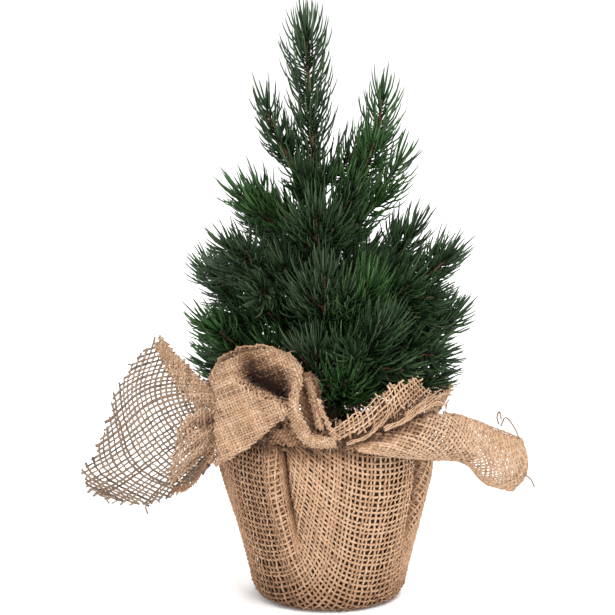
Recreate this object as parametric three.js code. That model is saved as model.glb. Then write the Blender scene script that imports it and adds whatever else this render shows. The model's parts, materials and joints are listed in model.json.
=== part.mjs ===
// Artificial tabletop tree: moulded spruce branches on a wired trunk, set in a cement-filled pot that is
// wrapped in one square of hessian. Millimetres, +Z up, front towards -Y, origin at the centre of the base.

import * as THREE from 'three';

// Driving dimensions, in millimetres, and angles, in degrees.
const GAP = 0.35;                      // clearance between pieces that touch
const CLOTH = 1.6;                     // thickness of the hessian as a plain solid
const POT_BASE_RADIUS = 33;
const POT_RIM_RADIUS = 47.5;
const POT_HEIGHT = 82;
const POT_WALL = 1.6;
const POT_LIFT = CLOTH + GAP;          // the pot stands on the cloth under it
const CEMENT_TOP = 77;
const TRUNK_FOOT = 10;
const TRUNK_TOP = 214;
const TRUNK_RADIUS = 4.4;
const TRUNK_TOP_RADIUS = 3.4;
const TRUNK_LEAN = 7;                  // how far the trunk's top leans to the left
const TAPE_THICKNESS = 0.8;
const STEM_RADIUS = 1.1;
const NEEDLE_RADIUS = 7;               // core of a needle brush, without its loose tips
const NEEDLE_OVERHANG = 11;            // how far needles reach past the end of their stem
const STEM_STEPS = 6;
const BORE_STEPS = 4;
const BARE_STEM = 15;                  // stem left bare at a branch's root
const LEADER_LENGTH = 67;
const LEADER_RISE = [84, 89];          // how steeply the leader rises at its root and at its tip
const LEADER_STEM_RADIUS = 1.5;
const LEADER_BARE_STEM = 8;
const NECK_HEIGHT = 84;                // where the cloth is gathered in over the pot's rim
const TIE_RADIUS = 0.9;
const TIE_LOOP_RADIUS = 50.2;

// Bands of paper tape that bind the branch wires to the trunk: lower and upper end of each.
const TAPE_BANDS = {
  trunk_tape_lower: [96, 122],
  trunk_tape_middle: [125, 159],
  trunk_tape_upper: [162, 213],
};

// Branches: height of the root, direction round the trunk (0 right, 90 back, 180 left, 270 front),
// length of the stem, and how steeply the stem rises at its root and at its tip.
const BRANCHES = {
  upper_left: [209, 178, 41, 52, 74],
  upper_right: [190, -4, 65, 46, 87],
  top_front: [166, 266, 42, 38, 70],
  top_right: [169, 28, 60, 44, 56],
  high_left: [178, 188, 41, 26, 46],
  high_right: [141, 22, 58, 24, 62],
  shoulder_left: [150, 214, 58, 26, 40],
  shoulder_back: [152, 128, 56, 28, 50],
  middle_front: [131, 270, 54, 32, 62],
  middle_front_right: [126, 302, 52, 32, 68],
  middle_left: [127, 172, 62, 24, 44],
  middle_right: [137, 350, 66, 22, 42],
  middle_back: [142, 72, 60, 26, 48],
  front_right: [111, 299, 60, 22, 54],
  front_centre: [109, 262, 44, 20, 50],
  front_low: [98, 281, 46, 16, 42],
  low_left: [110, 190, 60, 18, 38],
  low_back_left: [100, 158, 58, 5, 18],
  low_right: [112, 346, 66, 18, 40],
  low_right_drooping: [104, 8, 48, -4, 8],
  low_back_right: [108, 46, 68, 14, 32],
  low_back: [117, 98, 64, 18, 38],
};

// Base colours as the eye sees them.
const BARK_BROWN = 0x4a2f1f;
const NEEDLE_GREEN = 0x1d4a2a;
const HESSIAN_TAN = 0xc39d72;
const POT_BROWN = 0x3e2d20;
const CEMENT_GREY = 0x8c8980;
const JUTE_BROWN = 0xa98557;

const tree = new THREE.Group();

function addPiece(name, geometry, color, roughness) {
  const material = new THREE.MeshStandardMaterial({ color, roughness, metalness: 0 });
  const mesh = new THREE.Mesh(facingOut(geometry), material);
  mesh.name = name;
  tree.add(mesh);
}

// Turns the triangles round where a closed geometry faces in.
function facingOut(geometry) {
  const solid = geometry.index ? geometry.toNonIndexed() : geometry;
  const position = solid.getAttribute('position');
  const [a, b, c] = [new THREE.Vector3(), new THREE.Vector3(), new THREE.Vector3()];
  let volume = 0;
  for (let i = 0; i < position.count; i += 3) {
    a.fromBufferAttribute(position, i);
    b.fromBufferAttribute(position, i + 1);
    c.fromBufferAttribute(position, i + 2);
    volume += a.dot(b.cross(c));
  }
  if (volume < 0) {
    flipTriangles(position);
  }
  return solid;
}

function flipTriangles(position) {
  const kept = new THREE.Vector3();
  const moved = new THREE.Vector3();
  for (let i = 0; i < position.count; i += 3) {
    kept.fromBufferAttribute(position, i + 1);
    moved.fromBufferAttribute(position, i + 2);
    position.setXYZ(i + 1, moved.x, moved.y, moved.z);
    position.setXYZ(i + 2, kept.x, kept.y, kept.z);
  }
}

// A solid of revolution about +Z from [radius, height] points.
function turned(profile, sides) {
  const points = profile.map(([radius, height]) => new THREE.Vector2(radius, height));
  return new THREE.LatheGeometry(points, sides).rotateX(Math.PI / 2);
}

// Carries a solid that stands along +Z onto a curve: its height becomes the length along the curve.
function bentAlong(geometry, curve) {
  const position = geometry.getAttribute('position');
  for (let i = 0; i < position.count; i++) {
    const { point, along, side } = curve(position.getZ(i));
    const across = new THREE.Vector3().crossVectors(along, side);
    point.addScaledVector(side, position.getX(i)).addScaledVector(across, position.getY(i));
    position.setXYZ(i, point.x, point.y, point.z);
  }
  return geometry;
}

// The trunk stands upright in the cement and leans to the left above the neck.
function trunkAxis(height) {
  const rise = Math.max(0, height - NECK_HEIGHT) / (TRUNK_TOP - NECK_HEIGHT);
  const along = new THREE.Vector3(-TRUNK_LEAN / (TRUNK_TOP - NECK_HEIGHT) * (rise > 0 ? 1 : 0), 0, 1);
  return {
    point: new THREE.Vector3(-TRUNK_LEAN * rise, 0, height),
    along: along.normalize(),
    side: new THREE.Vector3(0, 1, 0),
  };
}

function trunkRadius(height) {
  const rise = Math.max(0, height - NECK_HEIGHT) / (TRUNK_TOP - NECK_HEIGHT);
  return THREE.MathUtils.lerp(TRUNK_RADIUS, TRUNK_TOP_RADIUS, rise);
}

// An arc in an upright plane, straight before its start and past its end.
function risingArc(root, azimuth, length, startRise, endRise) {
  const [heading, first, last] = [azimuth, startRise, endRise].map(THREE.MathUtils.degToRad);
  const outward = new THREE.Vector3(Math.cos(heading), Math.sin(heading), 0);
  const side = new THREE.Vector3(-Math.sin(heading), Math.cos(heading), 0);
  const turn = (last - first) / length;
  return (distance) => {
    const onArc = THREE.MathUtils.clamp(distance, 0, length);
    const rise = first + turn * onArc;
    const along = outward.clone().multiplyScalar(Math.cos(rise));
    along.z = Math.sin(rise);
    const point = root.clone()
      .addScaledVector(outward, (Math.sin(rise) - Math.sin(first)) / turn);
    point.z += (Math.cos(first) - Math.cos(rise)) / turn;
    point.addScaledVector(along, distance - onArc);
    return { point, along, side };
  };
}

function stemSolid(length, radius) {
  const profile = [[0, 0]];
  for (let i = 0; i <= STEM_STEPS; i++) {
    profile.push([radius * (1 - 0.4 * i / STEM_STEPS), length * i / STEM_STEPS]);
  }
  profile.push([0, length]);
  return turned(profile, 6);
}

// A brush of needles as one plain solid: a blind sleeve over the outer part of the stem.
function needleSleeve(length, start, stemRadius, radius) {
  const bore = stemRadius + 2 * GAP;
  const end = length + GAP;
  const tip = length + NEEDLE_OVERHANG;
  const profile = [[0, end]];
  for (let i = 0; i <= BORE_STEPS; i++) {
    profile.push([bore, THREE.MathUtils.lerp(end, start, i / BORE_STEPS)]);
  }
  profile.push([radius * 0.55, start], [radius * 0.9, start + 7], [radius, (length + start) / 2]);
  profile.push([radius, length - 3], [radius * 0.72, length + 5], [0, tip]);
  return turned(profile, 8);
}

function addPot() {
  const flare = (height) => THREE.MathUtils.lerp(POT_BASE_RADIUS, POT_RIM_RADIUS, height / POT_HEIGHT);
  const floor = POT_LIFT + POT_WALL;
  const profile = [
    [0, POT_LIFT], [flare(0) - 1.5, POT_LIFT], [flare(0), POT_LIFT + 1.5], [flare(74), 74],
    [flare(74) + 1.4, 74.6], [flare(POT_HEIGHT) + 1.2, POT_HEIGHT],
    [flare(POT_HEIGHT) - POT_WALL, POT_HEIGHT], [flare(floor) - POT_WALL, floor], [0, floor],
  ];
  addPiece('pot', turned(profile, 32), POT_BROWN, 0.6);

  const inner = (height) => flare(height) - POT_WALL - 2 * GAP;
  const bottom = floor + GAP;
  const socket = TRUNK_RADIUS + 2 * GAP;
  const cement = [
    [0, bottom], [inner(bottom), bottom], [inner(CEMENT_TOP), CEMENT_TOP],
    [socket, CEMENT_TOP], [socket, TRUNK_FOOT - GAP], [0, TRUNK_FOOT - GAP],
  ];
  addPiece('cement_fill', turned(cement, 32), CEMENT_GREY, 0.95);
}

function addTrunk() {
  const profile = [[0, TRUNK_FOOT]];
  for (const height of [TRUNK_FOOT, NECK_HEIGHT, 115, 146, 177, TRUNK_TOP]) {
    profile.push([trunkRadius(height), height]);
  }
  profile.push([0, TRUNK_TOP]);
  addPiece('trunk', bentAlong(turned(profile, 10), trunkAxis), BARK_BROWN, 0.85);

  for (const [name, [low, high]] of Object.entries(TAPE_BANDS)) {
    const [under, over] = [trunkRadius(low) + GAP, trunkRadius(high) + GAP];
    const band = [
      [under, low], [under + TAPE_THICKNESS, low], [over + TAPE_THICKNESS, high],
      [over, high], [under, low],
    ];
    addPiece(name, bentAlong(turned(band, 10), trunkAxis), BARK_BROWN, 0.9);
  }
}

function addBranch(name, [height, azimuth, length, startRise, endRise]) {
  const { point } = trunkAxis(height);
  const heading = THREE.MathUtils.degToRad(azimuth);
  const clear = trunkRadius(height) + TAPE_THICKNESS + 4 * GAP;
  point.add(new THREE.Vector3(Math.cos(heading), Math.sin(heading), 0).multiplyScalar(clear));
  const arc = risingArc(point, azimuth, length, startRise, endRise);
  const start = Math.max(BARE_STEM, length * 0.34);
  addPiece(`${name}_stem`, bentAlong(stemSolid(length, STEM_RADIUS), arc), BARK_BROWN, 0.8);
  const sleeve = needleSleeve(length, start, STEM_RADIUS, NEEDLE_RADIUS);
  addPiece(`${name}_needles`, bentAlong(sleeve, arc), NEEDLE_GREEN, 0.6);
}

function addLeader() {
  const { point } = trunkAxis(TRUNK_TOP);
  point.z += 2 * GAP;
  const arc = risingArc(point, 180, LEADER_LENGTH, ...LEADER_RISE);
  addPiece('leader_stem', bentAlong(stemSolid(LEADER_LENGTH, LEADER_STEM_RADIUS), arc), BARK_BROWN, 0.8);
  const sleeve = needleSleeve(LEADER_LENGTH, LEADER_BARE_STEM, LEADER_STEM_RADIUS, NEEDLE_RADIUS + 1);
  addPiece('leader_needles', bentAlong(sleeve, arc), NEEDLE_GREEN, 0.6);
}

// The fitted part of the cloth: a cup from under the pot up to the neck.
function addSkirt() {
  const outer = [[35, 0], [37, 2], [38, 11], [45, 40], [50, 62], [51.5, 72], [51, NECK_HEIGHT]];
  const inner = outer.slice(1).reverse().map(([radius, height]) => [radius - CLOTH, height]);
  const profile = [[0, 0], ...outer, ...inner, [35 - CLOTH, CLOTH], [0, CLOTH]];
  addPiece('burlap_skirt', turned(profile, 32), HESSIAN_TAN, 0.95);
}

// A bent slab of cloth over a grid of points: rows run along the neck, each next row further out.
function clothSlab(rows, across, along) {
  const slab = new THREE.BoxGeometry(1, 1, CLOTH, across, along, 1);
  const curves = rows.map((row) => new THREE.CatmullRomCurve3(row.map((p) => new THREE.Vector3(...p))));
  const surface = (u, v) => {
    const column = new THREE.CatmullRomCurve3(curves.map((curve) => curve.getPoint(u)));
    return column.getPoint(v);
  };
  const position = slab.getAttribute('position');
  const step = 0.02;
  for (let i = 0; i < position.count; i++) {
    const [u, v] = [position.getX(i) + 0.5, position.getY(i) + 0.5];
    const [u0, u1] = [Math.max(0, u - step), Math.min(1, u + step)];
    const [v0, v1] = [Math.max(0, v - step), Math.min(1, v + step)];
    const alongU = surface(u1, v).sub(surface(u0, v));
    const alongV = surface(u, v1).sub(surface(u, v0));
    const point = surface(u, v).addScaledVector(alongU.cross(alongV).normalize(), position.getZ(i));
    position.setXYZ(i, point.x, point.y, point.z);
  }
  return slab;
}

// Points on a ring about the pot, for cloth that stands up from the neck: [azimuth, radius, height].
function ringPoint([azimuth, radius, height]) {
  const heading = THREE.MathUtils.degToRad(azimuth);
  return [radius * Math.cos(heading), radius * Math.sin(heading), height];
}

function addTailLeft() {
  const rows = [
    [[-58, -22, 108], [-58, -26, 97], [-57, -24, 84], [-56, -19, 71]],
    [[-70, -24, 119], [-74, -28, 100], [-74, -24, 80], [-70, -20, 60]],
    [[-82, -20, 126], [-90, -26, 104], [-94, -22, 80], [-90, -20, 53]],
    [[-90, -16, 127], [-106, -20, 99], [-114, -16, 76], [-121, -14, 58]],
  ];
  addPiece('burlap_tail_left', clothSlab(rows, 8, 8), HESSIAN_TAN, 0.95);
}

// The front corner of the cloth, rolled into a cornet that opens to the right.
function addRollFront() {
  const tip = new THREE.Vector3(-50, -40, 86);
  const mouth = new THREE.Vector3(-30, -52, 112);
  const sideways = new THREE.Vector3(0.35, 0.93, 0.1).normalize();
  const upward = new THREE.Vector3().crossVectors(sideways, mouth.clone().sub(tip)).normalize();
  const rows = [0, 0.35, 0.7, 1].map((share) => {
    const radius = THREE.MathUtils.lerp(3.5, 19, share);
    const centre = tip.clone().lerp(mouth, share);
    return [-150, -90, -30, 30, 90, 150].map((degrees) => {
      const turn = THREE.MathUtils.degToRad(degrees);
      return centre.clone()
        .addScaledVector(sideways, 0.6 * radius * Math.sin(turn))
        .addScaledVector(upward, -radius * Math.cos(turn))
        .toArray();
    });
  });
  addPiece('burlap_roll_front', clothSlab(rows, 14, 5), HESSIAN_TAN, 0.95);
}

function addLipFront() {
  const rows = [
    [[-19, -54, 90], [-9, -56, 89], [3, -56, 88]],
    [[-13, -56, 101], [-6, -58, 97], [4, -57, 92]],
    [[-11, -57, 111], [-5, -58, 104], [3, -57, 95]],
  ];
  addPiece('burlap_lip_front', clothSlab(rows, 5, 4), HESSIAN_TAN, 0.95);
}

function addFlapRight() {
  const rows = [
    [[-79, 52, 88], [-58, 53, 88], [-38, 53, 88], [-21, 53, 88]],
    [[-79, 55, 92], [-58, 57, 97], [-38, 57, 99], [-21, 56, 98]],
    [[-79, 54, 97], [-58, 56, 105], [-38, 56, 110], [-21, 55, 108]],
  ].map((row) => row.map(ringPoint));
  addPiece('burlap_flap_right', clothSlab(rows, 8, 4), HESSIAN_TAN, 0.95);
}

function addTailRight() {
  const rows = [
    [[57, -12, 95], [56, -15, 83], [54, -17, 71]],
    [[71, -15, 91], [71, -19, 81], [69, -17, 70]],
    [[84, -13, 85], [85, -16, 73], [81, -14, 60]],
    [[97, -8, 79], [99, -9, 67], [89, -8, 55]],
  ];
  addPiece('burlap_tail_right', clothSlab(rows, 6, 6), HESSIAN_TAN, 0.95);
}

function addFlapBack() {
  const rows = [
    [[35, 53, 88], [70, 53, 88], [105, 53, 88], [140, 53, 88]],
    [[35, 59, 98], [70, 66, 99], [105, 66, 99], [140, 58, 99]],
    [[35, 62, 106], [70, 78, 96], [105, 80, 94], [140, 60, 108]],
  ].map((row) => row.map(ringPoint));
  addPiece('burlap_flap_back', clothSlab(rows, 10, 5), HESSIAN_TAN, 0.95);
}

// The tie that holds the gathered cloth in at the neck.
function addTie() {
  const tie = new THREE.TorusGeometry(TIE_LOOP_RADIUS, TIE_RADIUS, 6, 32)
    .translate(0, 0, NECK_HEIGHT + TIE_RADIUS + GAP);
  addPiece('gather_tie', tie, JUTE_BROWN, 0.9);
}

addPot();
addTrunk();
addLeader();
for (const [name, shape] of Object.entries(BRANCHES)) {
  addBranch(name, shape);
}
addSkirt();
addTailLeft();
addRollFront();
addLipFront();
addFlapRight();
addTailRight();
addFlapBack();
addTie();

export default tree;
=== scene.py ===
import json
import math

import bpy
import numpy as np
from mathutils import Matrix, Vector

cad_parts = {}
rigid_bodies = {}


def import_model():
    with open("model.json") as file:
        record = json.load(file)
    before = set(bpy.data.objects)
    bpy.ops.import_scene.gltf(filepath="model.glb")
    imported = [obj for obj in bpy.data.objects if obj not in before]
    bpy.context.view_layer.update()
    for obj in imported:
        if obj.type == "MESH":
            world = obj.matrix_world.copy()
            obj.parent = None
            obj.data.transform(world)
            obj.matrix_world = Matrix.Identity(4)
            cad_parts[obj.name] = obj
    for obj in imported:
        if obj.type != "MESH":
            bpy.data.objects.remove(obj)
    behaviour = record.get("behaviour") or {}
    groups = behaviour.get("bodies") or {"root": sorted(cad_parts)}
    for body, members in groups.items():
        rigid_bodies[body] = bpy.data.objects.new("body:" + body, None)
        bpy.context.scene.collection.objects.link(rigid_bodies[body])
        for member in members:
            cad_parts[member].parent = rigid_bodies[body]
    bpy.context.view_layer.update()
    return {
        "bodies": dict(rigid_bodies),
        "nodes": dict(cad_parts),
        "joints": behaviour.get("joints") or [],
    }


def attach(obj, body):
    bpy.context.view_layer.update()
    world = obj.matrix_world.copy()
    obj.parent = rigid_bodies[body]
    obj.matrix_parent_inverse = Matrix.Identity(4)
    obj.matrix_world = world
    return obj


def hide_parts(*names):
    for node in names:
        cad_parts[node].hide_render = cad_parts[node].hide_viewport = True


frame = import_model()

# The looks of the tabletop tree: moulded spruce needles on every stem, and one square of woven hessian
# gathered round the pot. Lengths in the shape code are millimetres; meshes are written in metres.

MM = 0.001
SEED = 11
rng = np.random.default_rng(SEED)

# ---------------------------------------------------------------- camera, light and floor

VIEW_CENTRE = Vector((-0.0106, 0.0, 0.1452))
VIEW_RISE = math.radians(12.0)
VIEW_DISTANCE = 1.5
VIEW_WIDTH = 0.3015          # width of the picture at the tree's trunk
SENSOR = 36.0
LIGHT_TARGET = (0, 0, 0.13)
LIGHTS = [                   # name, place, size, power, colour
    ("key", (0.40, -0.95, 1.45), 0.7, 19, (1.0, 0.98, 0.95)),
    ("fill", (-0.5, -1.3, 0.6), 0.9, 5, (0.99, 0.99, 1.0)),
    ("rim", (0.3, 1.0, 1.1), 0.8, 8, (1.0, 1.0, 1.0)),
]
SKY_STRENGTH = 1.08
FLOOR_REACH = 4.0
FLOOR_DROP = 0.0002          # below the pot's foot, so that the two faces never coincide


def add_camera():
    camera = bpy.data.cameras.new("camera")
    camera.sensor_width = SENSOR
    camera.lens = SENSOR * VIEW_DISTANCE / VIEW_WIDTH
    camera.clip_end = 20
    holder = bpy.data.objects.new("camera", camera)
    away = Vector((0, -math.cos(VIEW_RISE), math.sin(VIEW_RISE)))
    holder.location = VIEW_CENTRE + away * VIEW_DISTANCE
    holder.rotation_euler = (math.radians(90) - VIEW_RISE, 0, 0)
    bpy.context.scene.collection.objects.link(holder)
    bpy.context.scene.camera = holder


def add_light(name, place, size, power, color):
    light = bpy.data.lights.new(name, "AREA")
    light.shape = "DISK"
    light.size = size
    light.energy = power
    light.color = color
    holder = bpy.data.objects.new(name, light)
    holder.location = place
    holder.rotation_euler = (Vector(LIGHT_TARGET) - Vector(place)).to_track_quat("-Z", "Y").to_euler()
    bpy.context.scene.collection.objects.link(holder)


def add_studio():
    scene = bpy.context.scene
    scene.view_settings.view_transform = "Standard"
    world = bpy.data.worlds.new("studio")
    world.use_nodes = True
    sky = world.node_tree.nodes["Background"]
    sky.inputs["Color"].default_value = (1, 1, 1, 1)
    sky.inputs["Strength"].default_value = SKY_STRENGTH
    scene.world = world
    for light in LIGHTS:
        add_light(*light)
    floor = bpy.data.meshes.new("floor")
    corners = [(-1, -1, 0), (1, -1, 0), (1, 1, 0), (-1, 1, 0)]
    floor.from_pydata([tuple(FLOOR_REACH * c for c in corner) for corner in corners], [], [(0, 1, 2, 3)])
    holder = bpy.data.objects.new("floor", floor)
    holder.location.z = -FLOOR_DROP
    scene.collection.objects.link(holder)
    material, _, _, shader = new_material("floor_white")
    shader.inputs["Base Color"].default_value = (0.98, 0.98, 0.98, 1)
    shader.inputs["Roughness"].default_value = 0.8
    floor.materials.append(material)


# ---------------------------------------------------------------- materials


def new_material(name):
    material = bpy.data.materials.new(name)
    material.use_nodes = True
    nodes = material.node_tree.nodes
    return material, nodes, material.node_tree.links, nodes["Principled BSDF"]


def attribute(nodes, name):
    node = nodes.new("ShaderNodeAttribute")
    node.attribute_name = name
    return node.outputs["Fac"]


def object_noise(nodes, links, scale, detail=3.0, stretch=(1, 1, 1)):
    place = nodes.new("ShaderNodeTexCoord")
    mapping = nodes.new("ShaderNodeMapping")
    mapping.inputs["Scale"].default_value = stretch
    noise = nodes.new("ShaderNodeTexNoise")
    noise.inputs["Scale"].default_value = scale
    noise.inputs["Detail"].default_value = detail
    links.new(place.outputs["Object"], mapping.inputs["Vector"])
    links.new(mapping.outputs["Vector"], noise.inputs["Vector"])
    return noise.outputs["Fac"]


def arithmetic(nodes, links, operation, first, second):
    node = nodes.new("ShaderNodeMath")
    node.operation = operation
    for socket, value in zip(node.inputs, (first, second)):
        if isinstance(value, (int, float)):
            socket.default_value = value
        else:
            links.new(value, socket)
    return node.outputs["Value"]


def ramp(nodes, links, factor, stops):
    node = nodes.new("ShaderNodeValToRGB")
    elements = node.color_ramp.elements
    while len(elements) < len(stops):
        elements.new(0.5)
    for element, (place, color) in zip(elements, stops):
        element.position = place
        element.color = (*color, 1)
    links.new(factor, node.inputs["Fac"])
    return node.outputs["Color"]


def add_bump(nodes, links, shader, height, distance, strength=1.0):
    bump = nodes.new("ShaderNodeBump")
    bump.inputs["Distance"].default_value = distance
    bump.inputs["Strength"].default_value = strength
    links.new(height, bump.inputs["Height"])
    links.new(bump.outputs["Normal"], shader.inputs["Normal"])


GREY_STOPS = [(0.1, (0.10, 0.070, 0.050)), (0.8, (0.36, 0.275, 0.205))]      # weathered yarn


def hessian_material(name, stops):
    """Jute yarn: each thread has its own tone, broken up by slubs along it and by fine fibres."""
    material, nodes, links, shader = new_material(name)
    slubs = object_noise(nodes, links, 260, 2)
    fibres = object_noise(nodes, links, 2300, 2)
    tone = arithmetic(nodes, links, "MULTIPLY", attribute(nodes, "tone"), 0.5)
    mixed = arithmetic(nodes, links, "MULTIPLY_ADD", slubs, 0.45)
    links.new(tone, mixed.node.inputs[2])
    factor = arithmetic(nodes, links, "MULTIPLY_ADD", fibres, 0.22)
    links.new(mixed, factor.node.inputs[2])
    greyed = nodes.new("ShaderNodeMix")
    greyed.data_type = "RGBA"
    links.new(attribute(nodes, "grey"), greyed.inputs["Factor"])
    links.new(ramp(nodes, links, factor, stops), greyed.inputs["A"])
    links.new(ramp(nodes, links, factor, GREY_STOPS), greyed.inputs["B"])
    links.new(greyed.outputs["Result"], shader.inputs["Base Color"])
    shader.inputs["Roughness"].default_value = 0.92
    shader.inputs["Specular IOR Level"].default_value = 0.18
    shader.inputs["Sheen Weight"].default_value = 0.12
    shader.inputs["Sheen Roughness"].default_value = 0.5
    add_bump(nodes, links, shader, fibres, 0.0004, 0.8)
    return material


def needle_material(name, deep, mid, tip):
    """Moulded needles: darker at the root, lighter towards the tip, each with its own tone."""
    material, nodes, links, shader = new_material(name)
    along = attribute(nodes, "along")
    tone = attribute(nodes, "tone")
    patches = object_noise(nodes, links, 55, 2)
    mixed = arithmetic(nodes, links, "MULTIPLY_ADD", tone, 0.45)
    links.new(arithmetic(nodes, links, "MULTIPLY", patches, 0.35), mixed.node.inputs[2])
    factor = arithmetic(nodes, links, "MULTIPLY_ADD", along, 0.38)
    links.new(arithmetic(nodes, links, "SUBTRACT", mixed, 0.08), factor.node.inputs[2])
    color = ramp(nodes, links, factor, [(0.05, deep), (0.5, mid), (0.95, tip)])
    links.new(color, shader.inputs["Base Color"])
    shader.inputs["Roughness"].default_value = 0.48
    shader.inputs["Specular IOR Level"].default_value = 0.28
    return material


def grained_material(name, noise, stops, roughness, bump, specular=0.5):
    """One noise, given as scale, detail and stretch, colours the surface and roughens it."""
    material, nodes, links, shader = new_material(name)
    grain = object_noise(nodes, links, *noise)
    links.new(ramp(nodes, links, grain, stops), shader.inputs["Base Color"])
    shader.inputs["Roughness"].default_value = roughness
    shader.inputs["Specular IOR Level"].default_value = specular
    add_bump(nodes, links, shader, grain, bump)
    return material


def bark_material(name, dark, light, scale):
    return grained_material(name, (scale, 4, (1, 1, 0.35)), [(0.3, dark), (0.7, light)], 0.85, 0.0008)


# ---------------------------------------------------------------- mesh pieces


def unit(vectors):
    return vectors / np.maximum(np.linalg.norm(vectors, axis=-1, keepdims=True), 1e-9)


class Strands:
    """A mesh of many closed tubes. Each has a tone and a greyness, and each ring its share of the length."""

    def __init__(self):
        self.points, self.faces, self.tones, self.greys, self.shares = [], [], [], [], []
        self.count = 0

    def add(self, paths, facing, half_width, half_thick, tones, corners=4, grey=0.0):
        """Adds tubes. paths and facing are (tubes, rings, 3); the halves are (tubes, rings) or one number."""
        paths = np.asarray(paths, float)
        tubes, rings = paths.shape[:2]
        along = unit(np.gradient(paths, axis=1))
        side = unit(np.cross(along, facing))
        over = np.cross(side, along)
        wide = np.broadcast_to(half_width, (tubes, rings))[..., None]
        thick = np.broadcast_to(half_thick, (tubes, rings))[..., None]
        turns = np.arange(corners) * 2 * math.pi / corners
        ring = [paths + side * wide * math.cos(t) + over * thick * math.sin(t) for t in turns]
        points = np.stack(ring, axis=2)
        base = self.count + np.arange(tubes)[:, None, None] * rings * corners
        here = base + np.arange(rings - 1)[None, :, None] * corners
        k = np.arange(corners)[None, None, :]
        n = (k + 1) % corners
        quads = np.stack([here + k, here + n, here + n + corners, here + k + corners], axis=-1)
        self.faces += quads.reshape(-1, 4).tolist()
        first = base[:, 0] + np.arange(corners)[None, ::-1]
        last = base[:, 0] + (rings - 1) * corners + np.arange(corners)[None]
        self.faces += first.tolist() + last.tolist()
        self.points.append(points.reshape(-1, 3))
        tones = np.asarray(tones, float)
        tones = tones[..., None] if tones.ndim == 2 else tones.reshape(-1, 1, 1)
        self.tones.append(np.broadcast_to(tones, (tubes, rings, corners)).ravel())
        self.greys.append(np.full(tubes * rings * corners, grey))
        share = np.broadcast_to(np.linspace(0, 1, rings)[None, :, None], (tubes, rings, corners))
        self.shares.append(share.ravel())
        self.count += tubes * rings * corners

    def piece(self, name, material):
        mesh = bpy.data.meshes.new(name)
        mesh.from_pydata((np.concatenate(self.points) * MM).tolist(), [], self.faces)
        for label, values in (("tone", self.tones), ("grey", self.greys), ("along", self.shares)):
            data = mesh.attributes.new(label, "FLOAT", "POINT").data
            data.foreach_set("value", np.concatenate(values).astype(np.float32))
        mesh.shade_smooth()
        mesh.materials.append(material)
        holder = bpy.data.objects.new(name, mesh)
        bpy.context.scene.collection.objects.link(holder)
        return holder


# ---------------------------------------------------------------- branches

NEEDLE_LENGTH = 18.0
NEEDLE_HALF_WIDTH = 0.62
NEEDLE_HALF_THICK = 0.46
NEEDLE_RINGS = np.array([0.0, 0.3, 0.62, 0.86, 1.0])       # along a needle
NEEDLE_TAPER = np.array([[0.75, 1.0, 0.9, 0.55, 0.08]])    # its width there
NEEDLE_LIFT = 2.6            # how far a needle's tip turns up
NEEDLE_SPACING = 0.34        # millimetres of stem to each needle
OPEN_SPACING = 1.35          # the same on the more open branches, to the others'
NEEDLE_SPREAD = 66           # degrees from the stem at a needle's root
GOLDEN_TURN = math.radians(137.5)
BARE_SHARE = 0.16            # of a branch at its root
BARE_TWIG_SHARE = 0.06
ROLL_MIDDLE = np.array([-37.0, -47.0, 112.0])      # the rolled corner, which needles keep out of
ROLL_REACH = np.array([31.0, 29.0, 31.0])
COLLAR_RADIUS, COLLAR_TOP = 43.0, 96.0             # the cloth round the neck, which they keep out of too
SPRIG_COUNT = 15
SPRIG_LOW, SPRIG_HIGH = 112, 206
TOP_SPRIGS = [(193, -2.6), (197, -1.9), (200, -1.2)]       # height and direction of those that hide the joint
TRUNK_FOOT = 84              # height from which the trunk leans
TRUNK_LEAN, TRUNK_RISE = -7.0, 130                 # how far it goes sideways while it rises
UP = np.array([0, 0, 1.0])

# Side twigs of a branch: where they leave it as a share of its length, the side, their length as a share
# of the branch's, and how steeply they rise.
LONG_SPRAY = [(0.10, 1, 0.34, 0.7), (0.22, -1, 0.36, 0.4), (0.36, 1, 0.42, 0), (0.44, -1, 0.44, -0.75),
              (0.58, 1, 0.36, -0.6), (0.70, -1, 0.28, 0.1)]
SHORT_SPRAY = [(0.10, -1, 0.42, 0.5), (0.24, 1, 0.44, 0.3), (0.44, -1, 0.38, 0), (0.58, 1, 0.34, 0)]
FORK_SPRAY = [(0.12, 1, 0.30, 0.4), (0.28, -1, 0.46, 0), (0.50, 1, 0.26, 0)]
LONG_BRANCH = 55.0
SPRAYS = {"leader": [], "upper_right": FORK_SPRAY, "top_right": FORK_SPRAY,
          "upper_left": [(0.16, 1, 0.40, 0.2), (0.34, -1, 0.30, 0)],
          "high_left": [*SHORT_SPRAY, (0.50, 1, 0.44, 0.9)]}
# Twigs that close the gaps between neighbouring branches.
MORE_TWIGS = {"low_left": [(0.40, 1, 0.42, 0.9)], "middle_left": [(0.46, -1, 0.38, -0.8)],
              "middle_right": [(0.46, 1, 0.38, -0.8)], "low_right": [(0.40, -1, 0.42, 0.9)],
              "low_back_right": [(0.46, 1, 0.40, 0.8)], "shoulder_left": [(0.50, -1, 0.36, -0.7)]}
OPEN_BRANCHES = {"upper_right", "top_right", "upper_left", "high_left"}     # the ones with fewer needles
FRESH_BRANCHES = {"upper_right", "top_right", "high_left", "low_left", "middle_front_right", "front_low",
                  "low_back_left"}
GREY_BRANCHES = {"front_centre", "middle_front", "shoulder_left"}


RING_GAP = 3.0               # more than any step between the vertices of one ring of a stem


def stem_line(node, root):
    """The middle of each ring of a stem's mesh, in order from its root."""
    points = np.array([v.co[:] for v in frame["nodes"][node].data.vertices]) / MM
    points = np.unique(points.round(3), axis=0)
    away = np.linalg.norm(points - root, axis=1)
    order = np.argsort(away)
    steps = np.diff(away[order])
    groups = np.split(order, np.where(steps > RING_GAP)[0] + 1)
    return np.array([points[g].mean(axis=0) for g in groups])


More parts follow.
